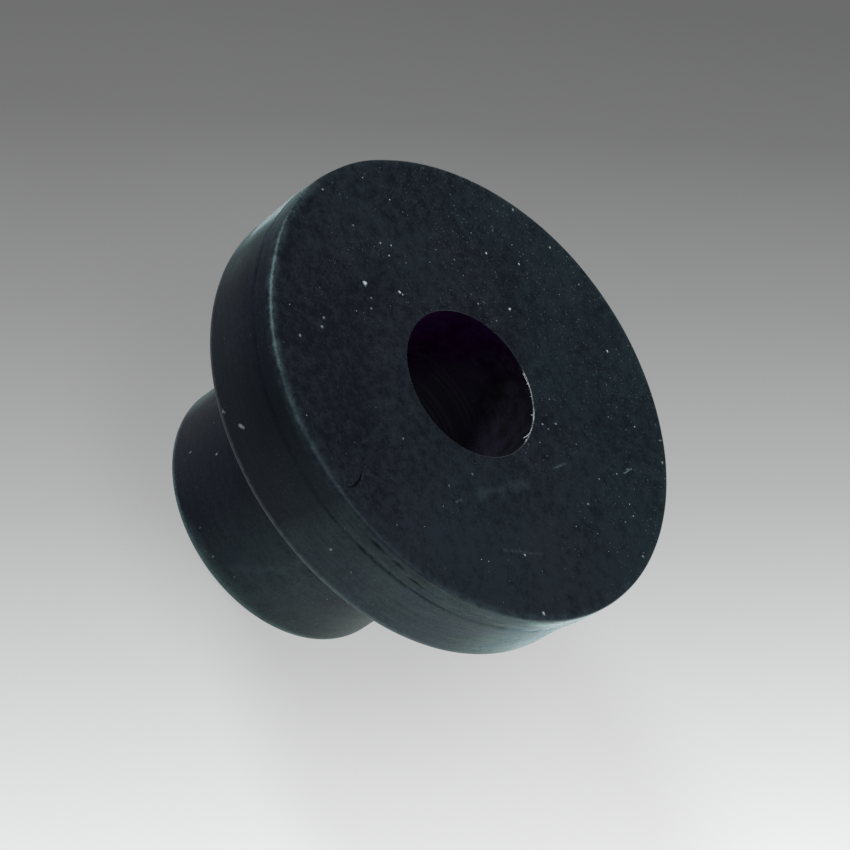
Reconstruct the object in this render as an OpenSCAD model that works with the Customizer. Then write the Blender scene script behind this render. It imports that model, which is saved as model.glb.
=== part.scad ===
/* [Flange] */
// Diameter of the flange at its widest, on the parting line
flange_d = 39.7; // [32:0.1:60]
// Thickness of the flange from its underside to the sealing face
flange_t = 7.6; // [4:0.1:15]
// How far the rim draws in from the parting line to its back edge, on the radius
rim_draw = 0.25; // [0.05:0.05:0.6]
// Radius of the edge between the sealing face and the rim
face_edge_r = 0.45; // [0.1:0.05:0.6]
// Radius of the edge between the rim and the underside
back_edge_r = 0.25; // [0.05:0.05:0.5]

/* [Parting line] */
// Distance of the parting line behind the sealing face
parting_back = 2.0; // [1.2:0.1:3]
// Width of the groove that the mould leaves along the parting line
parting_w = 0.3; // [0.1:0.05:0.5]
// Depth of that groove
parting_depth = 0.15; // [0.1:0.05:0.3]
// How far the band in front of the groove is set back from the rim
band_step = 0.05; // [0.02:0.01:0.1]

/* [Stem] */
// Diameter of the stem
stem_d = 22.5; // [18:0.1:28]
// Length of the stem below the flange
stem_len = 15.9; // [5:0.1:40]
// Radius of the edge round the stem's end
stem_edge_r = 0.2; // [0.05:0.05:1]
// Radius of the fillet where the stem meets the flange
root_fillet_r = 0.4; // [0.1:0.1:1.5]

/* [Bore] */
// Diameter of the bore that runs from end to end
bore_d = 12.5; // [8:0.1:16]
// Radius of the lip at each end of the bore
bore_lip_r = 0.2; // [0.05:0.05:0.5]

/* [Hidden] */
$fn = 180;
// Overlap that keeps a corner's cut clear of the outline
cut_over = 0.05;
stem_r = stem_d / 2;
bore_r = bore_d / 2;
rim_r = flange_d / 2;
back_r = rim_r - rim_draw;
band_r = rim_r - band_step;
underside_z = stem_len;
face_z = stem_len + flange_t;
parting_z = face_z - parting_back;

// Half of the seal's section before its edges are rounded, with the bore axis at X = 0
module plain_section() {
    polygon([
        [bore_r, 0],
        [stem_r, 0],
        [stem_r, underside_z],
        [back_r, underside_z],
        [back_r, underside_z + back_edge_r],
        [rim_r, parting_z - parting_w / 2],
        [rim_r - parting_depth, parting_z],
        [band_r, parting_z + parting_w / 2],
        [band_r, face_z],
        [bore_r, face_z]
    ]);
}

// What is cut from a square corner at the origin to round it, with the solid towards -X and -Y
module corner_cut(r) {
    difference() {
        translate([-r, -r]) square(r + cut_over);
        translate([-r, -r]) circle(r);
    }
}

// What fills an inside corner at the origin, with the open side towards +X and -Y
module corner_fill(r) {
    difference() {
        translate([-cut_over, -r]) square(r + cut_over);
        translate([r, -r]) circle(r);
    }
}

// All the edges that are rounded
module edge_cuts() {
    translate([band_r, face_z]) corner_cut(face_edge_r);
    translate([back_r, underside_z]) mirror([0, 1]) corner_cut(back_edge_r);
    translate([stem_r, 0]) mirror([0, 1]) corner_cut(stem_edge_r);
    translate([bore_r, face_z]) mirror([1, 0]) corner_cut(bore_lip_r);
    translate([bore_r, 0]) mirror([1, 0]) mirror([0, 1]) corner_cut(bore_lip_r);
}

// The whole seal, moulded in one piece: a thick flange on a tubular stem
module seal_body() {
    color([0.13, 0.16, 0.18])
    rotate_extrude() {
        difference() {
            plain_section();
            edge_cuts();
        }
        translate([stem_r, underside_z]) corner_fill(root_fillet_r);
    }
}

seal_body();
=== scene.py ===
import math

import bmesh
import bpy
from mathutils import Matrix, Vector, kdtree, noise


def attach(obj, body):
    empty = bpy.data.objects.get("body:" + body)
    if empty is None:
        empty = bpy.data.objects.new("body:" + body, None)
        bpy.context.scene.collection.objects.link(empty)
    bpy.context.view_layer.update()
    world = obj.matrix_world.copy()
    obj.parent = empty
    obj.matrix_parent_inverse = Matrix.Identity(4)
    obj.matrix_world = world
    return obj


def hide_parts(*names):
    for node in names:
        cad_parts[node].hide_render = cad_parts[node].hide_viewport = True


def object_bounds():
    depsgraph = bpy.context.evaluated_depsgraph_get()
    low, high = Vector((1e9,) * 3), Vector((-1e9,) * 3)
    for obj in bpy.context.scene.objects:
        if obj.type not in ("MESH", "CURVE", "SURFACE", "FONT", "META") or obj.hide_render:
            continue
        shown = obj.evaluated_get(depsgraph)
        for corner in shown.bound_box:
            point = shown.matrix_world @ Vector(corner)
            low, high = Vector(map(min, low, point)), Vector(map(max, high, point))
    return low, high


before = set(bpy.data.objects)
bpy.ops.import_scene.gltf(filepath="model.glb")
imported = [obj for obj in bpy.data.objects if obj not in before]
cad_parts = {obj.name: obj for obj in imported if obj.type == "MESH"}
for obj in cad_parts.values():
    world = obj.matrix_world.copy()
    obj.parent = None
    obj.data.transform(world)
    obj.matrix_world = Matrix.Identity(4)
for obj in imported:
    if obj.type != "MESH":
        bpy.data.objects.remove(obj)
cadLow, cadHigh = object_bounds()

mm = 0.001

# Everything is in metres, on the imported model's axes: +Z up the bore, the stem's flat end at Z = 0.
# Angles round the axis are in degrees from +X.
view = dict(
    azimuth=45.0,
    elevation=40.5,
    roll=55.65,
    distance=390.6 * mm,
    lens=211.8,
    aimHeight=13.5 * mm,         # of the point on the axis that the view is set by
    aimRight=-2.74 * mm,         # where that point lies in the view, from its middle
    aimDown=1.07 * mm,
)

seal = dict(
    length=cadHigh.z,
    flangeThick=7.6 * mm,
    faceRadius=19.70 * mm,       # of the front edge
    rimRadius=19.74 * mm,        # on the parting line
    backRadius=19.48 * mm,       # of the flange's back edge
    stemRadius=11.25 * mm,
    boreRadius=6.25 * mm,
    partingBack=2.0 * mm,        # parting line, behind the front face
    partingHalf=0.17 * mm,       # half the width of its groove
    partingDeep=0.14 * mm,
    faceEdge=0.45 * mm,          # edge radii
    backEdge=0.25 * mm,
    stemEdge=0.20 * mm,
    boreLip=0.10 * mm,
    lipDepth=0.50 * mm,          # of the finely divided strip inside the bore's mouth
    rootFillet=0.40 * mm,
    steps=384,                   # round the axis
    edgeSegments=6,
    lean=(0.145 * mm, 0.272 * mm),   # how far the flange's front is out of true
    leanFrom=4.4 * mm,               # how far behind the face that begins
    swells=[                         # where it swells: angle, flat half width, half width, by how much
        (38, 0, 80, 0.10 * mm),
        (-126, 0, 48, 0.12 * mm),
        (-121, 7, 19, 0.10 * mm),
    ],
    sharpAngle=70,               # side on which the front edge is sharpest
    sharpest=0.33,               # front edge's radius there and opposite, as a share of faceEdge
    bluntest=1.15,
    sharperTop=(-130, 14, 29, 0.75),     # a stretch where it is sharper: angle, widths, share
    waver=0.035 * mm,            # unevenness of the rim, and its slow and fast noise to a metre
    waverScales=(90, 420),
    partingClear=-21,            # angle at which the parting line is deepest
    partingSpread=32,            # angle over which it fades
)

# Longest step along the section on each stretch of it
spacing = dict(
    face=0.30 * mm,
    rim=0.28 * mm,
    underside=0.9 * mm,
    stem=0.65 * mm,
    end=0.8 * mm,
    bore=1.0 * mm,
    lip=0.14 * mm,
)

# Marks on the rubber. Face marks are (distance from the axis, angle) and rim and stem marks are
# (height, angle), in millimetres and degrees. Flecks have a size and a whiteness as well.
flecks = dict(
    face=[
        (11.5, -116, 0.23, 1.0), (8.9, -129, 0.15, 1.0), (9.5, 154, 0.14, 1.0), (16.5, 122, 0.12, 1.0),
        (19.0, 166, 0.10, 0.8), (18.4, 153, 0.10, 0.8), (18.8, -130, 0.09, 0.6), (13.1, 172, 0.10, 0.9),
        (14.3, 159, 0.10, 0.9), (10.3, -42, 0.10, 0.4), (8.3, -1, 0.10, 0.3), (10.5, -14, 0.10, 0.25),
        (14.3, 19, 0.10, 0.8), (19.0, 19, 0.16, 0.9), (19.0, 61, 0.12, 0.7), (19.3, 97, 0.10, 0.7),
        (19.2, 91, 0.10, 0.7), (15.2, -131, 0.10, 0.3), (12.9, -137, 0.10, 0.8), (17.3, -27, 0.11, 0.16),
        (14.5, -91.3, 0.13, 0.35), (14.7, -87.8, 0.15, 0.4), (17.0, -82.7, 0.14, 0.4),
        (13.1, 60, 0.10, 0.6), (7.2, 82, 0.09, 0.5), (7.8, 81, 0.08, 0.4), (8.5, 87, 0.10, 0.5),
        (10.5, -112, 0.10, 0.4), (10.2, -107, 0.11, 0.4),
    ],
    rim=[
        (17.76, -66.4, 0.15, 0.5), (17.84, -66.1, 0.16, 0.55), (17.92, -65.9, 0.17, 0.6),
        (18.0, -65.6, 0.15, 0.5), (18.08, -65.4, 0.13, 0.45), (19.15, -32.2, 0.15, 0.55),
        (18.91, -25.3, 0.11, 0.45), (16.44, -71.6, 0.14, 0.45), (16.62, -71.2, 0.10, 0.35),
    ],
    stem=[
        (2.5, -90, 0.11, 0.9), (5.8, -81, 0.10, 0.9), (1.3, -46, 0.10, 0.8), (2.05, 5.6, 0.09, 0.8),
        (2.7, -73.6, 0.08, 0.3), (1.6, -58.5, 0.07, 0.4), (1.8, -34.5, 0.07, 0.4), (9.6, -32, 0.07, 0.4),
    ],
    rise=0.30,                   # height, as a share of the size
    ragged=0.45,                 # unevenness of their outlines, and its noise to a metre
    raggedScale=6000,
)

dents = dict(
    nick=dict(path=[(18.55, -42.0), (17.92, -41.4), (17.48, -41.4), (16.87, -41.7), (16.32, -42.5)],
              width=0.25 * mm, depth=0.10 * mm),
    knocks=[(22.84, -28.0, 1.20, 0.24), (22.80, -21.6, 1.05, 0.21), (22.38, -15.8, 1.20, 0.20)],
    knockDepth=0.13 * mm,        # each knock is its height, angle, half length and half width
    # how dark the painted shade in each knock is
    knockShade=0.85,
)

burrs = dict(                    # ragged lip of the bore, and a painted highlight along it
    line=(56, 121),              # painted highlight line, from one angle to the other
    reach=0.10 * mm,             # how far the line spreads from the lip
    nubs=[                       # angle, half width, how far in
        (118.4, 2.0, 0.10), (110.6, 0.8, 0.10), (100.8, 0.8, 0.08), (84.7, 0.7, 0.12), (60.0, 3.0, 0.06)],
    threads=[                    # loose flash: (distance from the axis, angle) along it, and its radius
        ([(6.06, 119.6), (6.13, 115.5), (6.24, 110.5), (6.28, 104.0), (6.30, 98.0)], 0.046),
        ([(6.31, 93.5), (6.32, 88.0), (6.31, 81.0), (6.30, 76.5)], 0.040),
        ([(6.29, 74.5), (6.26, 69.5), (6.18, 66.0), (6.06, 62.0), (5.90, 58.2)], 0.055),
        ([(6.22, 111.3), (6.10, 110.8), (6.01, 110.4)], 0.036),
        ([(6.25, 101.2), (6.14, 100.7), (6.05, 100.8)], 0.032),
        ([(6.26, 85.0), (6.12, 84.9), (6.00, 84.3)], 0.040),
        ([(6.12, 118.0), (6.04, 118.5)], 0.045)],
)


def viewAxes():
    a, e, r = (math.radians(view[k]) for k in ("azimuth", "elevation", "roll"))
    back = Vector((math.sin(a) * math.cos(e), -math.cos(a) * math.cos(e), math.sin(e)))
    level = Vector((math.cos(a), math.sin(a), 0))
    rise = back.cross(level)
    right = math.cos(r) * level + math.sin(r) * rise
    up = -math.sin(r) * level + math.cos(r) * rise
    return right, up, back


def addCamera():
    right, up, back = viewAxes()
    data = bpy.data.cameras.new("camera")
    data.sensor_width = 36
    data.lens = view["lens"]
    camera = bpy.data.objects.new("camera", data)
    bpy.context.collection.objects.link(camera)
    aim = Vector((0, 0, view["aimHeight"]))
    place = aim - view["aimRight"] * right + view["aimDown"] * up + view["distance"] * back
    turn = Matrix((right, up, back)).transposed().to_4x4()
    camera.matrix_world = Matrix.Translation(place) @ turn
    bpy.context.scene.camera = camera


def smooth(low, high, x):
    t = min(max((x - low) / (high - low), 0), 1)
    return t * t * (3 - 2 * t)


# The seal's mesh

def sectionCorners():
    s = seal
    under = s["length"] - s["flangeThick"]
    parting = s["length"] - s["partingBack"]
    soft = s["partingHalf"] / 3
    return [   # radius, height, rounding
        (s["boreRadius"], 0, s["boreLip"]),
        (s["stemRadius"], 0, s["stemEdge"]),
        (s["stemRadius"], under, s["rootFillet"]),
        (s["backRadius"], under, s["backEdge"]),
        (s["rimRadius"], parting - s["partingHalf"], soft),
        (s["rimRadius"] - s["partingDeep"], parting, soft),
        (s["faceRadius"], parting + s["partingHalf"], soft),
        (s["faceRadius"], s["length"], s["faceEdge"]),
        (s["boreRadius"], s["length"], s["boreLip"]),
        (s["boreRadius"], s["length"] - s["lipDepth"], 0),
    ]


def stretchAt(place):
    near = 0.01 * mm
    under = seal["length"] - seal["flangeThick"]
    if place.x < seal["boreRadius"] + near:
        return "lip" if place.z > seal["length"] - seal["lipDepth"] else "bore"
    if place.z > seal["length"] - near:
        return "face"
    if place.z < near:
        return "end"
    if place.z < under - near:
        return "stem"
    return "underside" if place.z < under + near else "rim"


def sealSection(bm):
    corners = sectionCorners()
    verts = [bm.verts.new((r, 0, z)) for r, z, _ in corners]
    for i, vert in enumerate(verts):
        bm.edges.new((vert, verts[(i + 1) % len(verts)]))
    for vert, (_, _, rounding) in zip(verts, corners):
        if rounding:
            bmesh.ops.bevel(bm, geom=[vert], offset=rounding, offset_type="OFFSET", affect="VERTICES",
                            segments=seal["edgeSegments"], profile=0.5, material=-1)
    for edge in bm.edges[:]:
        middle = (edge.verts[0].co + edge.verts[1].co) / 2
        cuts = int(edge.calc_length() / spacing[stretchAt(middle)])
        if cuts:
            bmesh.ops.subdivide_edges(bm, edges=[edge], cuts=cuts)


def spinSeal():
    bm = bmesh.new()
    sealSection(bm)
    bmesh.ops.spin(bm, geom=bm.verts[:] + bm.edges[:], cent=(0, 0, 0), axis=(0, 0, 1),
                   angle=2 * math.pi, steps=seal["steps"], use_merge=True)
    bmesh.ops.remove_doubles(bm, verts=bm.verts, dist=0.001 * mm)
    bmesh.ops.recalc_face_normals(bm, faces=bm.faces)
    return bm


def nearAngle(angle, middle, spread, flat=0):
    gap = abs((angle - middle + 180) % 360 - 180)
    return 1 - smooth(flat, spread, gap)


def angleOf(place):
    return math.degrees(math.atan2(place.y, place.x))


def polar(radius, angle, height):
    turn = math.radians(angle)
    return Vector((radius * math.cos(turn), radius * math.sin(turn), height))


def leaned(place):
    flat = Vector((place.x, place.y, 0))
    share = smooth(seal["length"] - seal["leanFrom"], seal["length"] - 0.2 * mm, place.z)
    share *= smooth(seal["boreRadius"] * 1.2, seal["backRadius"], flat.length)
    swell = sum(reach * nearAngle(angleOf(place), middle, half, level)
                for middle, level, half, reach in seal["swells"])
    return place + (Vector((*seal["lean"], 0)) + flat.normalized() * swell) * share


def rimAt(height):
    under, parting = seal["length"] - seal["flangeThick"], seal["length"] - seal["partingBack"]
    share = min((height - under) / (parting - under), 1)
    return seal["backRadius"] + (seal["rimRadius"] - seal["backRadius"]) * share


def fleckSpots():
    spots = [(polar(r * mm, angle, seal["length"]), *look) for r, angle, *look in flecks["face"]]
    spots += [(polar(rimAt(z * mm), angle, z * mm), *look) for z, angle, *look in flecks["rim"]]
    spots += [(polar(seal["stemRadius"], angle, z * mm), *look) for z, angle, *look in flecks["stem"]]
    return [(leaned(place), size * mm, white) for place, size, white in spots]


def nickSpots():
    path = [leaned(polar(r * mm, angle, seal["length"])) for r, angle in dents["nick"]["path"]]
    steps = 6
    return [path[i].lerp(path[i + 1], k / steps) for i in range(len(path) - 1) for k in range(steps + 1)]


def knockSpots():
    return [(leaned(polar(seal["faceRadius"], angle, z * mm)), angle, long * mm, wide * mm)
            for z, angle, long, wide in dents["knocks"]]


def refineNear(bm, spots, cuts):
    bm.faces.ensure_lookup_table()
    tree = kdtree.KDTree(len(bm.faces))
    for face in bm.faces:
        tree.insert(face.calc_center_median(), face.index)
    tree.balance()
    chosen = set()
    for place, reach in spots:
        chosen.update(index for _, index, _ in tree.find_range(place, reach))
    edges = {edge for index in chosen for edge in bm.faces[index].edges}
    bmesh.ops.subdivide_edges(bm, edges=list(edges), cuts=cuts, use_grid_fill=True)


def vertTree(bm):
    bm.verts.ensure_lookup_table()
    tree = kdtree.KDTree(len(bm.verts))
    for vert in bm.verts:
        tree.insert(vert.co, vert.index)
    tree.balance()
    return tree


def frontScale(angle):
    # the front edge is sharp on one side and well rounded on the other
    turn = math.cos(math.radians(angle - seal["sharpAngle"]))
    scale = seal["bluntest"] + (seal["sharpest"] - seal["bluntest"]) * smooth(-0.55, 0.3, turn)
    middle, level, half, share = seal["sharperTop"]
    return scale * (1 - share * nearAngle(angle, middle, half, level))


def shapeFrontEdge(bm):
    corner = Vector((seal["faceRadius"], seal["length"]))
    for v in bm.verts:
        flat = Vector((v.co.x, v.co.y, 0))
        reach = seal["faceEdge"] * 1.001
        if flat.length < corner.x - reach or v.co.z < corner.y - reach:
            continue
        scale = frontScale(angleOf(v.co))
        radius = corner.x + (flat.length - corner.x) * scale
        v.co = flat.normalized() * radius + Vector((0, 0, corner.y + (v.co.z - corner.y) * scale))


def fadeParting(bm):
    middle = seal["length"] - seal["partingBack"]
    for v in bm.verts:
        flat = Vector((v.co.x, v.co.y, 0))
        if flat.length < seal["stemRadius"] * 1.2 or abs(v.co.z - middle) > seal["partingHalf"]:
            continue
        clear = nearAngle(angleOf(v.co), seal["partingClear"], seal["partingSpread"])
        share = (v.co.z - middle) / seal["partingHalf"] / 2 + 0.5
        depth = seal["rimRadius"] + (seal["faceRadius"] - seal["rimRadius"]) * share - flat.length
        v.co += flat.normalized() * depth * (1 - clear)


def waverRim(bm):
    slowScale, fastScale = seal["waverScales"]
    for v in bm.verts:
        radius = v.co.to_2d().length
        share = smooth(seal["stemRadius"] * 1.3, seal["backRadius"], radius)
        if share:
            way = Vector((v.co.x, v.co.y, 0)).normalized()
            slow = noise.noise(v.co * slowScale + Vector((3, 0, 0)))
            fast = noise.noise(v.co * fastScale)
            v.co -= way * share * seal["waver"] * (0.5 + 0.7 * slow + 0.35 * fast)


# How rubbed the edges are and how strong their painted highlights, and the painted sheen and shade
# on the walls, by angle. Each entry is a strength, the angle it is strongest at, a half width and,
# where it has one, the half width of its level part.
rubsAndHighlights = dict(
    frontLeast=0.08,
    front=[(0.72, -97, 32, 8), (0.22, -66, 22, 4), (0.20, 14, 40), (0.35, -123, 14)],
    footLeast=0.25,
    foot=[(0.45, -95, 50), (1.10, -30, 62, 10)],
    back=(-14, 42),              # angle and half width
    backWider=0.09,
    backPaler=0.36,
)

# Painted sheen and reflection on the walls and stem, and painted shade in the entries named for shade
paintedSheenAndShade = dict(
    stem=[(0.22, -14, 52), (0.54, 42, 42), (0.64, -130, 22)],
    foot=[(0.80, -40, 44), (0.25, 5, 40)],
    stemShade=[(0.14, -82, 26), (0.16, -106, 18)],
    rim=[(0.19, -6, 54), (0.85, 38, 40), (0.45, 42, 22), (0.32, 24, 17), (0.05, -42, 12)],
    rimShade=[(0.75, -65, 30)],
    band=[(0.72, -138, 30), (0.42, 27, 20)],         # between the parting line and the front edge
    bandTop=[(0.20, 12, 14)],                        # in its half nearer the front
    bandStreak=[(0.08, -2, 16), (-0.05, -25, 16)],
    bandShade=[(0.06, -84, 26)],
    limbHighlight=1.60,                                       # painted highlight on a stretch of the rim
    limbAngle=-133,
    limbSpan=(9, 20),                                # fades out from the first to the second, in degrees
    shoulder=0.13,                                   # and a fainter painted highlight beside it
    shoulderSpan=(14, 36),
)


def around(angle, marks):
    return sum(strength * nearAngle(angle, *place) for strength, *place in marks)


def stemSheenAndShade(angle, height):
    under = seal["length"] - seal["flangeThick"]
    foot = around(angle, paintedSheenAndShade["foot"]) * (1 - smooth(0.1 * mm, 1.2 * mm, height))
    pale = around(angle, paintedSheenAndShade["stem"]) * (1.22 - 0.8 * height / under)
    return pale + foot - around(angle, paintedSheenAndShade["stemShade"])


def wallSheenAndShade(angle, height):
    # above 0 painted sheen and reflection, above 1 a nearly white painted highlight, below 0 painted
    # shade, blacker than the rest
    under, parting = seal["length"] - seal["flangeThick"], seal["length"] - seal["partingBack"]
    if height < under:
        return stemSheenAndShade(angle, height)
    fromLimb = abs((angle - paintedSheenAndShade["limbAngle"] + 180) % 360 - 180)
    upper = smooth(under + 1 * mm, parting - 1 * mm, height)
    pale = around(angle, paintedSheenAndShade["rim"]) - around(angle, paintedSheenAndShade["rimShade"]) * (0.6 + 0.4 * upper)
    pale += paintedSheenAndShade["shoulder"] * (1 - smooth(*paintedSheenAndShade["shoulderSpan"], fromLimb))
    if height > parting:
        ahead = height - parting
        pale += around(angle, paintedSheenAndShade["bandStreak"]) * smooth(0.5 * mm, 0.9 * mm, ahead)
        pale += around(angle, paintedSheenAndShade["bandTop"]) * smooth(0.8 * mm, 1.7 * mm, ahead)
        return pale + around(angle, paintedSheenAndShade["band"]) - around(angle, paintedSheenAndShade["bandShade"])
    rise = 0.40 + 0.60 * smooth(under + 1 * mm, parting - 3 * mm, height)
    return pale + paintedSheenAndShade["limbHighlight"] * rise * (1 - smooth(*paintedSheenAndShade["limbSpan"], fromLimb))


def markWearAndPaintedLight(bm):
    # rubbed edges with their painted highlights, and painted sheen and shade on the walls, kept as values
    # on the points for the rubber to read
    layers = bm.verts.layers.float
    edgeGap, edgeWearAndHighlight, rearGap, footHighlightShare, paintedLight, wall = (
        layers.new(name) for name in ("edgeGap", "edgeWearAndHighlight", "rearGap", "footHighlightShare", "paintedLight", "wall"))
    toMiddle = 1 - math.sqrt(0.5)   # how far in a rounded edge's middle lies, as a share of its radius
    footInset, backInset = seal["stemEdge"] * toMiddle, seal["backEdge"] * toMiddle
    foot = Vector((seal["stemRadius"] - footInset, footInset))
    back = Vector((seal["backRadius"] - backInset, seal["length"] - seal["flangeThick"] + backInset))
    for v in bm.verts:
        spot = Vector((v.co.to_2d().length, v.co.z))
        angle = angleOf(v.co)
        inset = seal["faceEdge"] * frontScale(angle) * toMiddle
        front = Vector((seal["faceRadius"] - inset, seal["length"] - inset))
        onBack = nearAngle(angle, *rubsAndHighlights["back"])
        onStem = 1 - smooth(1 * mm, 2 * mm, spot.y)
        v[edgeGap] = min((spot - front).length / mm, 3)
        v[edgeWearAndHighlight] = rubsAndHighlights["frontLeast"] + around(angle, rubsAndHighlights["front"])
        v[rearGap] = min((spot - back).length, (spot - foot).length) / mm - rubsAndHighlights["backWider"] * onBack
        footPaler = rubsAndHighlights["footLeast"] + around(angle, rubsAndHighlights["foot"])
        v[footHighlightShare] = (1 - onStem) * rubsAndHighlights["backPaler"] * onBack + onStem * footPaler
        v[wall] = 1 - smooth(front.y - 0.20 * mm, front.y + 0.02 * mm, spot.y)
        outside = smooth(seal["boreRadius"] + 1 * mm, seal["stemRadius"] - 1 * mm, spot.x)
        v[paintedLight] = wallSheenAndShade(angle, spot.y) * v[wall] * outside


def raiseFlecks(bm, tree):
    layer = bm.verts.layers.float.new("dust")
    for place, size, white in fleckSpots():
        for _, index, gap in tree.find_range(place, size * 1.8):
            vert = bm.verts[index]
            ragged = 1 + flecks["ragged"] * noise.noise(vert.co * flecks["raggedScale"])
            share = 1 - smooth(0.45, 1.0, gap / size * ragged)
            vert[layer] = max(vert[layer], share * white)
            vert.co += vert.normal * size * flecks["rise"] * share


def pressDents(bm, tree):
    # the nick and the knocks carry painted shade as well as their dents
    layer = bm.verts.layers.float.new("nick")
    nick = dents["nick"]
    spots = nickSpots()
    moved = {}
    for i, place in enumerate(spots):
        taper = 0.35 + 0.65 * math.sin(math.pi * (i + 0.5) / len(spots))
        for _, index, gap in tree.find_range(place, nick["width"] * 1.5):
            share = 1 - smooth(0.3, 1.0, gap / (nick["width"] * taper))
            moved[index] = max(moved.get(index, 0), share)
    for index, share in moved.items():
        bm.verts[index][layer] = share
        bm.verts[index].co.z -= nick["depth"] * share
    for place, angle, long, wide in knockSpots():
        sideways = polar(1, angle + 90, 0)
        for _, index, _ in tree.find_range(place, long):
            vert = bm.verts[index]
            away = vert.co - place
            reach = math.hypot(away.dot(sideways) / long, away.z / wide)
            share = 1 - smooth(0.0, 1.0, reach)
            vert[layer] = max(vert[layer], dents["knockShade"] * share)
            vert.co -= vert.normal * dents["knockDepth"] * share


def raiseBurrs(bm):
    # nubs and threads of flash, and a pale line along the lip that is partly a painted highlight
    layer = bm.verts.layers.float.new("burrAndLipHighlight")
    low, high = burrs["line"]
    lip = Vector((seal["boreRadius"], seal["length"]))
    for v in bm.verts:
        gap = (Vector((v.co.to_2d().length, v.co.z)) - lip).length
        if gap > burrs["reach"] * 3:
            continue
        angle = angleOf(v.co)
        near = 1 - smooth(burrs["reach"] * 0.4, burrs["reach"], gap)
        along = smooth(low - 4, low + 4, angle) * (1 - smooth(high - 4, high + 4, angle))
        broken = smooth(-0.25, 0.45, noise.noise(Vector((angle * 0.35, 2.0, 0))))
        line = along * near * (0.10 + 0.35 * broken)
        line = max(line, 0.07 * near * nearAngle(angle, 20, 60))
        move = 0.03 * mm * along * near * noise.noise(v.co * 1400)
        for middle, half, reach in burrs["nubs"]:
            poke = (1 - smooth(half * 0.2, half, abs(angle - middle))) * near
            line = max(line, poke * 0.7)
            move = max(move, reach * mm * poke)
        v[layer] = line
        v.co -= Vector((v.co.x, v.co.y, 0)).normalized() * move
    return layer


def threadPath(points):
    path = []
    for (fromR, fromAngle), (toR, toAngle) in zip(points, points[1:]):
        count = max(int(abs(toAngle - fromAngle) / 0.8), 4)
        for k in range(count):
            share = k / count
            angle = fromAngle + (toAngle - fromAngle) * share
            r = fromR + (toR - fromR) * share + 0.022 * noise.noise(Vector((angle, 5, 0)) * 0.9)
            path.append(polar(r * mm, angle, seal["length"] - 0.02 * mm))
    return path


def addThreads(bm, layer):
    for points, thick in burrs["threads"]:
        path = threadPath(points)
        curve = bpy.data.curves.new("thread", "CURVE")
        curve.dimensions = "3D"
        curve.bevel_depth = thick * mm
        curve.bevel_resolution = 1
        curve.use_fill_caps = True
        spline = curve.splines.new("POLY")
        spline.points.add(len(path) - 1)
        for i, (point, place) in enumerate(zip(spline.points, path)):
            point.co = (*place, 1)
            uneven = 0.75 + 0.5 * noise.noise(place * 3000)
            point.radius = uneven * (0.35 + 0.65 * math.sin(math.pi * (i + 0.5) / len(path)))
        shape = bpy.data.objects.new("thread", curve)
        before = len(bm.verts)
        mesh = shape.to_mesh()
        bm.from_mesh(mesh)
        shape.to_mesh_clear()
        bm.verts.ensure_lookup_table()
        for v in bm.verts[before:]:
            v[layer] = 0.65 + 0.35 * smooth(-0.3, 0.3, noise.noise(v.co * 2200))
        bpy.data.objects.remove(shape)
        bpy.data.curves.remove(curve)


def buildSeal():
    bm = spinSeal()
    shapeFrontEdge(bm)
    fadeParting(bm)
    markWearAndPaintedLight(bm)
    waverRim(bm)
    for v in bm.verts:
        v.co = leaned(v.co)
    spots = [(place, size * 1.7 + 0.15 * mm) for place, size, _ in fleckSpots()]
    spots += [(place, 0.4 * mm) for place in nickSpots()]
    lip = range(int(burrs["line"][0]) - 5, int(burrs["line"][1]) + 5, 2)
    spots += [(polar(seal["boreRadius"], angle, seal["length"]), 0.26 * mm) for angle in lip]
    refineNear(bm, spots, 3)
    refineNear(bm, [(place, long * 1.2) for place, _, long, _ in knockSpots()], 2)
    bm.normal_update()
    tree = vertTree(bm)
    raiseFlecks(bm, tree)
    pressDents(bm, tree)
    addThreads(bm, raiseBurrs(bm))
    mesh = bpy.data.meshes.new("oil_seal")
    for face in bm.faces:
        face.smooth = True
        middle = face.calc_center_median()
        inside = 0.1 * mm < middle.z < seal["length"] - 0.12 * mm
        if inside and middle.to_2d().length < seal["boreRadius"]:
            face.material_index = 1   # the bore's own rubber
    bm.to_mesh(mesh)
    bm.free()
    piece = bpy.data.objects.new("oil_seal", mesh)
    bpy.context.collection.objects.link(piece)
    return piece


# Materials

def addNode(tree, kind, inputs=(), **settings):
    node = tree.nodes.new("ShaderNode" + kind)
    for name, value in settings.items():
        setattr(node, name, value)
    for name, value in dict(inputs).items():
        if isinstance(value, bpy.types.NodeSocket):
            tree.links.new(value, node.inputs[name])
        else:
            node.inputs[name].default_value = value
    return node


def newMaterial(name):
    material = bpy.data.materials.new(name)
    material.use_nodes = True
    tree = material.node_tree
    tree.nodes.clear()
    return material, tree


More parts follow.
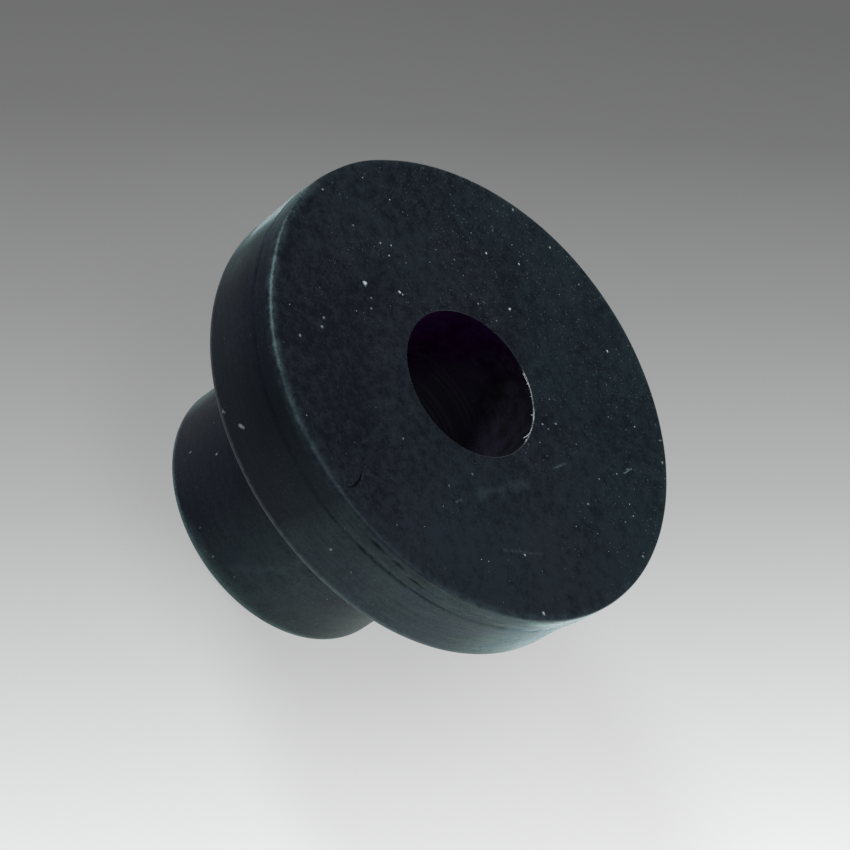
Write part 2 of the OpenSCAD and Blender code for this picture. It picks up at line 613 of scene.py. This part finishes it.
rubber = dict(
    dark=(0.0048, 0.0058, 0.0094),
    teal=(0.0112, 0.0190, 0.0240),
    violet=(0.0155, 0.0166, 0.0255),
    bluish=(0.008, 0.012, 0.055),     # slight tint of the walls
    shadeAndGrime=(0.0010, 0.0016, 0.0056),   # painted shade on the blackest stretch of the rim and in the parting line, and grime in spots
    nick=(0.0010, 0.0012, 0.0016),    # painted shade inside the nick and the knocks
    worn=(0.110, 0.170, 0.185),       # rubs and scratches, and the front edge's wear and painted highlight
    rearHighlight=(0.115, 0.128, 0.146),   # painted highlight on the flange's back edge
    footHighlight=(0.240, 0.400, 0.400),   # painted highlight on the stem's edge
    # painted sheen and reflection on the walls, in three tints, then a nearly white painted highlight
    paintedLight=(0.158, 0.256, 0.288),
    greenSheen=(0.174, 0.272, 0.258),
    warmSheen=(0.190, 0.246, 0.222),   # on the stem
    paleHighlight=(0.590, 0.660, 0.700),   # nearly white painted highlight
    # dust, and also the painted highlight along the bore's lip
    dust=(0.46, 0.52, 0.53),
    roughness=0.42,
    specular=0.15,
    specularTint=(0.65, 0.95, 1.0),
    bloom=0.22,                  # dry bloom that lights up at grazing angles
    bloomRough=0.26,
    bloomColour=(0.62, 1.0, 1.0),
)

boreRubber = dict(               # never rubbed, and with no painted sheen or highlight
    violet=(0.0088, 0.0011, 0.0145),    # near the mouth, and further in
    violetDeep=(0.0235, 0.0035, 0.0375),
    grey=(0.0092, 0.0088, 0.0125),
    greyDeep=(0.0260, 0.0230, 0.0390),
    ring=(0.0380, 0.0350, 0.0480),
    roughness=0.50,
    specular=0.02,
    slopeWay=(0.843, 0.325, -0.429),    # across the line between its violet and grey sides
)

# Noise patterns: scale to a millimetre, detail, roughness
patterns = dict(
    blotch=(0.16, 4.0, 0.55),
    mottle=(1.1, 6.0, 0.66),
    grain=(4.2, 3.0, 0.65),
    fine=(8.5, 2.0, 0.60),
    streak=(1.0, 5.0, 0.62),
    hue=(0.11, 2.0, 0.55),
    sheenHue=(0.34, 2.0, 0.55),
    clusters=(0.30, 2.0, 0.55),
    rings=(1.0, 2.0, 0.50),
    scuffs=(0.85, 4.0, 0.65),
)

streakStretch = (0.25, 0.25, 2.2)    # draws a pattern out round the seal
ringStretch = (0.02, 0.02, 3.0)


def mathNode(tree, operation, *values, clamp=False):
    return addNode(tree, "Math", enumerate(values), operation=operation, use_clamp=clamp).outputs[0]


def times(tree, *values):
    product = values[0]
    for value in values[1:]:
        product = mathNode(tree, "MULTIPLY", product, value)
    return product


def plus(tree, *values):
    total = values[0]
    for value in values[1:]:
        total = mathNode(tree, "ADD", total, value)
    return total


def most(tree, *values):
    top = values[0]
    for value in values[1:]:
        top = mathNode(tree, "MAXIMUM", top, value)
    return top


def rangeNode(tree, value, fromLow, fromHigh, toLow=0.0, toHigh=1.0):
    inputs = {"Value": value, "From Min": fromLow, "From Max": fromHigh}
    inputs.update({"To Min": toLow, "To Max": toHigh})
    return addNode(tree, "MapRange", inputs, interpolation_type="SMOOTHSTEP").outputs[0]


def vectorNode(tree, operation, first, second):
    return addNode(tree, "VectorMath", {0: first, 1: second}, operation=operation).outputs


def scaled(tree, way, size):
    return addNode(tree, "VectorMath", {0: way, "Scale": size}, operation="SCALE").outputs[0]


def millimetres(tree):
    return scaled(tree, addNode(tree, "TexCoord").outputs["Object"], 1 / mm)


def attribute(tree, name):
    return addNode(tree, "Attribute", attribute_name=name).outputs["Fac"]


def patternNode(tree, place, name):
    scale, detail, rough = patterns[name]
    inputs = {"Vector": place, "Scale": scale, "Detail": detail, "Roughness": rough}
    return addNode(tree, "TexNoise", inputs).outputs["Fac"]


def blend(tree, maps, **weights):
    return plus(tree, *(times(tree, maps[name], weight) for name, weight in weights.items()))


def mixColours(tree, share, first, second):
    node = addNode(tree, "Mix", data_type="RGBA")
    for spot, value in ((0, share), (6, first), (7, second)):
        if isinstance(value, bpy.types.NodeSocket):
            tree.links.new(value, node.inputs[spot])
        else:
            node.inputs[spot].default_value = value if spot == 0 else (*value, 1)
    return node.outputs[2]


def bumpNode(tree, relief):
    return addNode(tree, "Bump", {"Height": relief, "Distance": mm, "Strength": 1.0}).outputs[0]


def alongWay(tree, place, angle):
    # millimetres from the axis towards an angle
    return vectorNode(tree, "DOT_PRODUCT", place, polar(1, angle, 0))["Value"]


def shaken(tree, place, scale, reach):
    # the place moved about a little, so that a mask's outline is uneven
    wobble = addNode(tree, "TexNoise", {"Vector": place, "Scale": scale, "Detail": 2.0}).outputs["Color"]
    wobble = vectorNode(tree, "SUBTRACT", wobble, (0.5, 0.5, 0.5))[0]
    return vectorNode(tree, "ADD", place, scaled(tree, wobble, reach))[0]


def spotMask(tree, place, middle, reach):
    gap = vectorNode(tree, "DISTANCE", place, polar(*middle))["Value"]
    return rangeNode(tree, gap, 0.0, reach, 1.0, 0.0)


def strokeMask(tree, place, start, end, width):
    along = end - start
    fromStart = vectorNode(tree, "SUBTRACT", place, start)[0]
    share = vectorNode(tree, "DOT_PRODUCT", fromStart, along / along.length_squared)["Value"]
    share = mathNode(tree, "MULTIPLY", share, 1.0, clamp=True)
    gap = vectorNode(tree, "DISTANCE", fromStart, scaled(tree, tuple(along), share))["Value"]
    return rangeNode(tree, gap, 0.0, width, 1.0, 0.0)


def rubberMaps(tree):
    # values that several layers of the rubber read: patterns, and where on the seal a point is
    place = millimetres(tree)
    height = addNode(tree, "SeparateXYZ", {0: place}).outputs["Z"]
    maps = {name: patternNode(tree, place, name) for name in ("blotch", "mottle", "grain", "fine")}
    maps["streak"] = patternNode(tree, vectorNode(tree, "MULTIPLY", place, streakStretch)[0], "streak")
    maps["ragged"] = rangeNode(tree, maps["grain"], 0.3, 0.7, -0.06, 0.08)
    maps["place"] = place
    maps["shaken"] = shaken(tree, place, 0.9, 1.0)
    maps["height"] = height
    maps["wall"] = attribute(tree, "wall")
    maps["onStem"] = rangeNode(tree, height, 15.2, 15.9, 1.0, 0.0)
    return maps


# Painted light and shade across the face, lighter towards 10 and 112 degrees and darker towards -75:
# angle, where on it they begin and end, shade added at both
facePaintedLight = [
    (10, 3, 16, 0.012, 0.095),
    (112, 6, 13, 0.0, 0.04),
    (-75, 6, 17, 0.0, -0.06),
]


def rubberShade(tree, maps):
    wall = maps["wall"]
    maps["plain"] = blend(tree, maps, blotch=0.28, mottle=0.48, grain=0.36)
    streaked = blend(tree, maps, plain=0.58, streak=0.16, fine=0.32)
    streaked = plus(tree, times(tree, streaked, 1.6), -0.343)
    shade = addNode(tree, "Mix", {0: wall, 2: maps["plain"], 3: streaked}).outputs[0]
    onFace = mathNode(tree, "SUBTRACT", 1.0, wall)
    for angle, start, end, least, full in facePaintedLight:
        drift = rangeNode(tree, alongWay(tree, maps["place"], angle), start, end, least, full)
        shade = plus(tree, shade, times(tree, onFace, drift))
    return shade


def bareColour(tree, maps):
    place = maps["place"]
    hue = rangeNode(tree, patternNode(tree, place, "hue"), 0.35, 0.65, 0.28, 0.75)
    hue = plus(tree, hue, rangeNode(tree, alongWay(tree, place, 112), 2, 11, -0.15, 0.45))
    hue = mathNode(tree, "ADD", hue, times(tree, maps["onStem"], -0.30), clamp=True)
    light = mixColours(tree, hue, rubber["violet"], rubber["teal"])
    colour = mixColours(tree, rangeNode(tree, maps["shade"], 0.43, 0.71), rubber["dark"], light)
    return mixColours(tree, blend(tree, maps, wall=0.08, onStem=0.05), colour, rubber["bluish"])


def addPaintedSheenAndShade(tree, maps, colour):
    # painted sheen and reflection on the walls, a nearly white painted highlight, and painted shade where
    # the value is below 0
    place, paintedLight = maps["place"], attribute(tree, "paintedLight")
    patchy = rangeNode(tree, maps["shade"], 0.42, 0.66, 0.50, 1.05)
    nearFront = rangeNode(tree, maps["height"], 21.3, 21.8, 0.05, 0.26)
    drawn = times(tree, rangeNode(tree, maps["streak"], 0.36, 0.64, -1.0, 1.0), nearFront)
    patchy = times(tree, patchy, plus(tree, drawn, 1.0))
    green = rangeNode(tree, patternNode(tree, place, "sheenHue"), 0.40, 0.60)
    warm = times(tree, maps["onStem"], rangeNode(tree, alongWay(tree, place, 40), 2, 11))
    sheenColour = mixColours(tree, green, rubber["paintedLight"], rubber["greenSheen"])
    sheenColour = mixColours(tree, warm, sheenColour, rubber["warmSheen"])
    colour = mixColours(tree, mathNode(tree, "MULTIPLY", paintedLight, patchy, clamp=True), colour, sheenColour)
    highlighted = times(tree, rangeNode(tree, paintedLight, 0.8, 1.6), patchy)
    colour = mixColours(tree, highlighted, colour, rubber["paleHighlight"])
    return mixColours(tree, mathNode(tree, "MULTIPLY", paintedLight, -1.0, clamp=True), colour, rubber["shadeAndGrime"])


# Rubs and scratches: both ends as (distance from the axis, angle, height), then width and strength
strokes = dict(
    smear=((9.9, 3, 23.5), (9.1, 16, 23.5), 0.80, 0.08),
    smearEnd=((9.1, 16, 23.5), (8.8, 36, 23.5), 0.70, 0.10),
    longScratch=((14.2, 11, 23.5), (14.3, 19, 23.5), 0.24, 0.14),
    longScratchEnd=((14.3, 19, 23.5), (14.5, 27, 23.5), 0.18, 0.10),
    brightScratch=((15.55, 81.3, 23.5), (16.30, 84.1, 23.5), 0.09, 1.0),
    brightScratchTwin=((15.75, 82.9, 23.5), (16.0, 83.7, 23.5), 0.08, 0.7),
    fleckedScratch=((9.43, 60.8, 23.5), (10.02, 67.8, 23.5), 0.16, 0.35),
    shortScratch=((11.57, -9.1, 23.5), (11.14, -6.9, 23.5), 0.14, 0.32),
    stemRub=((11.25, -37, 2.2), (11.25, -27, 6.0), 0.65, 0.22),
    stemRubEnd=((11.25, -27, 5.2), (11.25, -24, 8.2), 0.55, 0.22),
    stemSmudge=((11.25, -16, 5.6), (11.25, -9, 6.6), 0.9, 0.15),
)
widestScratch = 0.4              # anything wider is a rub


def rubMask(tree, maps):
    rub = (maps["shaken"], rangeNode(tree, maps["mottle"], 0.34, 0.64, 0.4, 1.0))
    scratched = shaken(tree, maps["place"], 1.2, 0.16)
    scratch = (scratched, rangeNode(tree, maps["grain"], 0.36, 0.6, 0.15, 1.0))
    worn = 0.0
    for start, end, width, strength in strokes.values():
        place, uneven = rub if width > widestScratch else scratch
        mask = strokeMask(tree, place, polar(*start), polar(*end), width)
        worn = most(tree, times(tree, mask, uneven, strength), worn)
    return worn


def edgeMask(tree, maps):
    # a crisp pale line on the front edge and a softer, fainter one beside it: wear and a painted
    # highlight
    mottle, wear = maps["mottle"], attribute(tree, "edgeWearAndHighlight")
    gap = mathNode(tree, "ADD", attribute(tree, "edgeGap"), maps["ragged"])
    crisp = rangeNode(tree, gap, 0.03, 0.20, 1.0, 0.0)
    crisp = times(tree, crisp, rangeNode(tree, mottle, 0.36, 0.60, 0.35, 1.0), wear)
    soft = rangeNode(tree, gap, 0.1, 0.75, 0.20, 0.0)
    soft = times(tree, soft, rangeNode(tree, mottle, 0.34, 0.62, 0.2, 1.0))
    soft = times(tree, soft, rangeNode(tree, wear, 0.0, 0.45, 0.2, 1.0))
    return most(tree, crisp, soft)


def addWearAndHighlights(tree, maps, colour):
    # pale lines on the flange's back edge and the stem's edge: painted highlights
    rear = mathNode(tree, "ADD", attribute(tree, "rearGap"), maps["ragged"])
    rear = rangeNode(tree, rear, 0.10, 0.52, 0.64, 0.0)
    rear = times(tree, rear, rangeNode(tree, maps["mottle"], 0.30, 0.62, 0.5, 1.0))
    rearColour = mixColours(tree, attribute(tree, "footHighlightShare"), rubber["rearHighlight"], rubber["footHighlight"])
    colour = mixColours(tree, rear, colour, rearColour)
    # rubs and scratches, and the front edge's wear and painted highlight
    return mixColours(tree, most(tree, rubMask(tree, maps), edgeMask(tree, maps)), colour, rubber["worn"])


# Grimy spots: place, reach, strength
darkSpots = dict(
    facePatch=((13.9, 59.3, 23.5), 1.3, 0.70),
    facePatchEnd=((14.3, 51, 23.5), 1.1, 0.60),
    faceStain=((13.6, -52, 23.5), 2.3, 0.30),
    rimStreak=((19.7, 11.5, 21.45), 0.8, 0.65),
    rimStreakEnd=((19.7, 22.5, 21.3), 0.7, 0.55),
    stemSpot=((11.25, -26, 6.9), 1.1, 0.40),
    stemSpotEnd=((11.25, -16, 7.5), 1.0, 0.30),
)


def addCreaseShadeAndGrime(tree, maps, colour):
    # painted shade in the parting line's groove, and grime in spots
    mottle = maps["mottle"]
    toParting = (seal["partingBack"] - seal["length"]) / mm
    seam = plus(tree, maps["height"], toParting, times(tree, maps["ragged"], 1.5))
    seam = rangeNode(tree, mathNode(tree, "ABSOLUTE", seam), 0.05, 0.38, 1.0, 0.0)
    seam = times(tree, seam, maps["wall"], rangeNode(tree, mottle, 0.38, 0.60, 0.45, 0.1))
    shadeAndGrimeMask = times(tree, seam, rangeNode(tree, alongWay(tree, maps["place"], -42), 13.5, 19))
    uneven = rangeNode(tree, mottle, 0.40, 0.58, 1.0, 0.3)
    for middle, reach, strength in darkSpots.values():
        mask = spotMask(tree, maps["shaken"], middle, reach)
        shadeAndGrimeMask = most(tree, times(tree, mask, uneven, strength), shadeAndGrimeMask)
    return mixColours(tree, shadeAndGrimeMask, colour, rubber["shadeAndGrime"])


# Where dust gathers: place, reach, how much more
dustyPatches = dict(
    upper=((15.5, 171, 23.5), 5.5, 0.90),
    side=((13.0, 112, 23.5), 4.5, 0.30),
)

# Specks of dust: how many cells to a millimetre, reach in a cell where the dust is thin and where it is
# thick, and how pale the faintest and the brightest are
specks = dict(
    small=(3.6, 0.06, 0.19, 0.01, 0.09),
    middling=(2.3, 0.03, 0.120, 0.02, 0.22),
    large=(0.95, 0.02, 0.070, 0.05, 0.75),
)


def speckMask(tree, place, thick):
    dusty = 0.0
    for scale, thin, full, faint, bright in specks.values():
        cells = addNode(tree, "TexVoronoi", {"Vector": place, "Scale": scale, "Randomness": 1.0})
        reach = rangeNode(tree, thick, 0.1, 1.3, thin, full)
        speck = mathNode(tree, "LESS_THAN", cells.outputs["Distance"], reach)
        pick = addNode(tree, "SeparateColor", {0: cells.outputs["Color"]}).outputs[0]
        dusty = most(tree, times(tree, speck, rangeNode(tree, pick, 0.1, 1.0, faint, bright)), dusty)
    return dusty


def dustAndLipHighlightMask(tree, place):
    # dust, and the painted highlight along the bore's lip
    clusters = rangeNode(tree, patternNode(tree, place, "clusters"), 0.36, 0.64, -0.25, 0.75)
    thick = plus(tree, rangeNode(tree, alongWay(tree, place, 140), -12, 16, 0.0, 0.85), clusters)
    for middle, reach, more in dustyPatches.values():
        thick = plus(tree, thick, times(tree, spotMask(tree, place, middle, reach), more))
    return most(tree, speckMask(tree, place, thick), attribute(tree, "dust"), attribute(tree, "burrAndLipHighlight"))


def rubberMaterial():
    material, tree = newMaterial("worn_black_rubber")
    maps = rubberMaps(tree)
    maps["shade"] = rubberShade(tree, maps)
    colour = bareColour(tree, maps)
    for addLayer in (addPaintedSheenAndShade, addWearAndHighlights, addCreaseShadeAndGrime):
        colour = addLayer(tree, maps, colour)
    # dust specks and flecks, and the painted highlight along the bore's lip
    dusty = dustAndLipHighlightMask(tree, maps["place"])
    colour = mixColours(tree, dusty, colour, rubber["dust"])
    low = rubber["roughness"]
    rough = rangeNode(tree, maps["mottle"], 0.25, 0.75, low - 0.06, low + 0.08)
    drawn = times(tree, maps["streak"], maps["wall"], 0.012)
    shader = addNode(tree, "BsdfPrincipled", {
        "Base Color": mixColours(tree, attribute(tree, "nick"), colour, rubber["nick"]),
        "Roughness": plus(tree, rough, times(tree, dusty, 0.4)),
        "Normal": bumpNode(tree, plus(tree, blend(tree, maps, grain=0.014, mottle=0.024), drawn)),
        "Specular IOR Level": rubber["specular"],
        "Specular Tint": (*rubber["specularTint"], 1),
        "Sheen Weight": rubber["bloom"],
        "Sheen Roughness": rubber["bloomRough"],
        "Sheen Tint": (*rubber["bloomColour"], 1),
    })
    addNode(tree, "OutputMaterial", {"Surface": shader.outputs[0]})
    return material


def boreColour(tree, place, rings, scuffs):
    # violet on one side and grey on the other, both paler further in
    height = addNode(tree, "SeparateXYZ", {0: place}).outputs["Z"]
    slope = vectorNode(tree, "DOT_PRODUCT", place, boreRubber["slopeWay"])["Value"]
    slope = mathNode(tree, "ADD", slope, rangeNode(tree, scuffs, 0.34, 0.66, -0.9, 0.9))
    depth = rangeNode(tree, height, 22.6, 14.5)
    depth = plus(tree, depth, rangeNode(tree, scuffs, 0.34, 0.66, -0.25, 0.35))
    # painted light on the bore wall that faces away from the lamps
    paler = rangeNode(tree, alongWay(tree, place, 150), 5.4, 6.2, 0.0, 0.5)
    depth = mathNode(tree, "ADD", depth, paler, clamp=True)
    violet = mixColours(tree, depth, boreRubber["violet"], boreRubber["violetDeep"])
    grey = mixColours(tree, depth, boreRubber["grey"], boreRubber["greyDeep"])
    colour = mixColours(tree, rangeNode(tree, slope, -13.2, -9.8), violet, grey)
    ringed = rangeNode(tree, alongWay(tree, place, 135), 5.4, 6.2)
    ringed = times(tree, ringed, rangeNode(tree, height, 16.0, 18.0, 1.0, 0.0))
    ringed = times(tree, ringed, rangeNode(tree, rings, 0.44, 0.58))
    return mixColours(tree, ringed, colour, boreRubber["ring"])


def boreMaterial():
    material, tree = newMaterial("clean_bore_rubber")
    place = millimetres(tree)
    rings = patternNode(tree, vectorNode(tree, "MULTIPLY", place, ringStretch)[0], "rings")
    scuffs = patternNode(tree, place, "scuffs")
    low = boreRubber["roughness"]
    shader = addNode(tree, "BsdfPrincipled", {
        "Base Color": boreColour(tree, place, rings, scuffs),
        "Roughness": rangeNode(tree, scuffs, 0.3, 0.7, low - 0.05, low + 0.08),
        "Normal": bumpNode(tree, plus(tree, times(tree, rings, 0.025), times(tree, scuffs, 0.012))),
        "Specular IOR Level": boreRubber["specular"],
    })
    addNode(tree, "OutputMaterial", {"Surface": shader.outputs[0]})
    return material


# Floor and lights

lights = dict(
    world=0.10,
    left=dict(side=-1.0, toward=0.05, elevation=36, distance=0.80, size=0.24, power=4.0,
              colour=(0.94, 0.98, 1.0)),
    right=dict(side=1.0, toward=-0.3, elevation=24, distance=0.90, size=0.60, power=4.5,
               colour=(0.93, 1.0, 0.97)),
    top=dict(side=0.0, toward=1.0, elevation=78, distance=1.0, size=0.60, power=4.0,
             colour=(1.0, 1.0, 1.0)),
)


def levelWays():
    # level directions across the view and towards the camera
    a = math.radians(view["azimuth"])
    return Vector((math.cos(a), math.sin(a), 0)), Vector((math.sin(a), -math.cos(a), 0))


def addLamp(name):
    lamp = lights[name]
    level, near = levelWays()
    rise = math.radians(lamp["elevation"])
    flat = (lamp["side"] * level + lamp["toward"] * near).normalized()
    away = flat * math.cos(rise) + Vector((0, 0, math.sin(rise)))
    data = bpy.data.lights.new(name, "AREA")
    data.shape = "DISK"
    data.size = lamp["size"]
    data.energy = lamp["power"]
    data.color = lamp["colour"]
    obj = bpy.data.objects.new(name, data)
    obj.location = Vector((0, 0, seal["length"] / 2)) + away * lamp["distance"]
    obj.rotation_euler = away.to_track_quat("Z", "Y").to_euler()
    bpy.context.collection.objects.link(obj)


def setView():
    bpy.context.scene.view_settings.view_transform = "Standard"


def addWorld():
    world = bpy.data.worlds.new("studio")
    world.use_nodes = True
    shade = world.node_tree.nodes["Background"]
    shade.inputs["Color"].default_value = (1, 1, 1, 1)
    shade.inputs["Strength"].default_value = lights["world"]
    bpy.context.scene.world = world


sweep = dict(                    # floor that turns from grey to nearly white down the view
    radius=1.6,
    start=-45 * mm,
    end=30 * mm,
    tones=[(0.0, 0.150), (0.16, 0.187), (0.373, 0.309), (0.587, 0.470), (0.80, 0.685), (1.0, 0.87)],
    ownLight=0.80,               # how much of its tone is seen whatever light falls on it
)


def floorMaterial():
    material, tree = newMaterial("studio_sweep")
    roll, elevation = math.radians(view["roll"]), math.radians(view["elevation"])
    level, near = levelWays()
    down = math.sin(roll) * level + math.cos(roll) * math.sin(elevation) * near
    along = vectorNode(tree, "DOT_PRODUCT", addNode(tree, "TexCoord").outputs["Object"], down)["Value"]
    limits = {"From Min": sweep["start"], "From Max": sweep["end"]}
    share = addNode(tree, "MapRange", {"Value": along, **limits})
    ramp = addNode(tree, "ValToRGB", {"Fac": share.outputs[0]})
    band = ramp.color_ramp
    while len(band.elements) < len(sweep["tones"]):
        band.elements.new(0.5)
    for element, (spot, tone) in zip(band.elements, sweep["tones"]):
        element.position = spot
        element.color = (tone, tone, tone, 1)
    diffuse = addNode(tree, "BsdfDiffuse", {"Color": ramp.outputs[0]})
    glow = addNode(tree, "Emission", {"Color": ramp.outputs[0], "Strength": 1.0})
    path = addNode(tree, "LightPath").outputs
    seen = most(tree, path["Is Camera Ray"], path["Is Glossy Ray"], path["Is Transmission Ray"])
    share = times(tree, seen, sweep["ownLight"])
    mix = addNode(tree, "MixShader", {"Fac": share, 1: diffuse.outputs[0], 2: glow.outputs[0]})
    addNode(tree, "OutputMaterial", {"Surface": mix.outputs[0]})
    return material


def addFloor():
    bm = bmesh.new()
    bmesh.ops.create_circle(bm, cap_ends=True, segments=96, radius=sweep["radius"])
    mesh = bpy.data.meshes.new("floor")
    bm.to_mesh(mesh)
    bm.free()
    floor = bpy.data.objects.new("floor", mesh)
    floor.data.materials.append(floorMaterial())
    bpy.context.collection.objects.link(floor)


setView()
addCamera()
print("camera set")
oilSeal = buildSeal()
print("seal built:", len(oilSeal.data.polygons), "faces")
for material in (rubberMaterial(), boreMaterial()):
    oilSeal.data.materials.append(material)
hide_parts("seal_body")
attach(oilSeal, "root")
print("rubber ready")
addWorld()
for lampName in ("left", "right", "top"):
    addLamp(lampName)
addFloor()
print("studio built")
